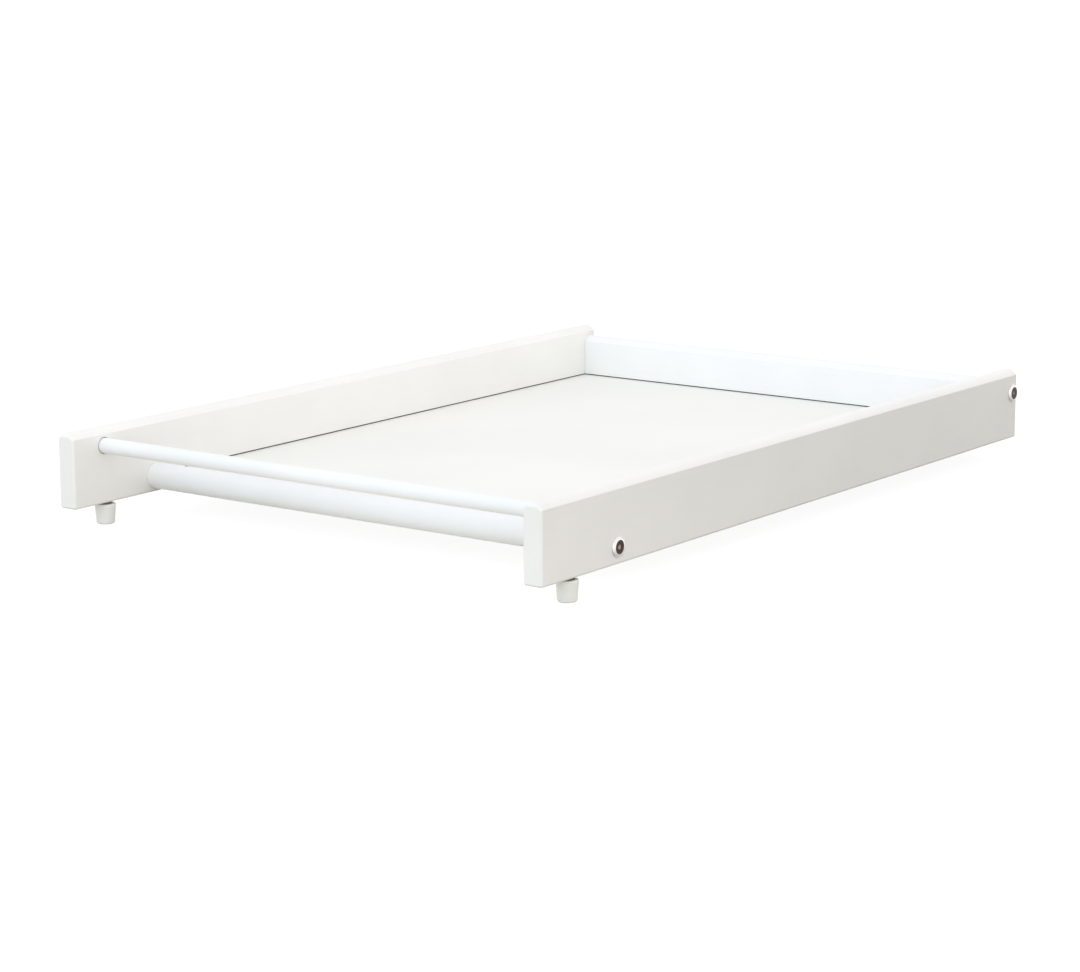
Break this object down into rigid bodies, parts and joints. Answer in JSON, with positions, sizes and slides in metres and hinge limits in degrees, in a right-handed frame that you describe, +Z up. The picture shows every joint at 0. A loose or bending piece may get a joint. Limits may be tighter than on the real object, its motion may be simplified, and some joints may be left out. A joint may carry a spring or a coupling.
{
  "type": "cot top changer",
  "caption": "Shallow tray of white lacquered wood that lies across a cot for changing a baby: side rails, back board, grooved base panel, round front bars and locating pegs.",
  "frame": {"origin": "under the middle of the tray, level with the tips of the two pegs", "axes": "+X to the right across the tray as seen from its open front, +Y from the open front to the back board, +Z up"},
  "size_m": [0.5344, 0.795, 0.089],
  "materials": {
    "white_lacquer": "satin white lacquer on planed boards and turned bars",
    "white_panel": "smooth satin white coating on a thin fibreboard panel",
    "white_plastic": "satin moulded plastic",
    "bright_nickel": "bright nickel plate",
    "zinc_plate": "dull zinc plate",
    "bare_beech": "bare beech"
  },
  "bodies": {
    "root": {"left_side_rail": "white_lacquer", "right_side_rail": "white_lacquer", "back_board": "white_lacquer", "base_panel": "white_panel", "lower_front_bar": "white_lacquer", "upper_front_bar": "white_lacquer", "left_peg": "white_plastic", "right_peg": "white_plastic", "front_left_bolt": "bright_nickel", "front_right_bolt": "bright_nickel", "back_left_bolt": "bright_nickel", "back_right_bolt": "bright_nickel", "front_left_barrel_nut": "zinc_plate", "front_right_barrel_nut": "zinc_plate", "back_left_barrel_nut": "zinc_plate", "back_right_barrel_nut": "zinc_plate", "left_dowel": "bare_beech", "right_dowel": "bare_beech"}
  },
  "joints": []
}
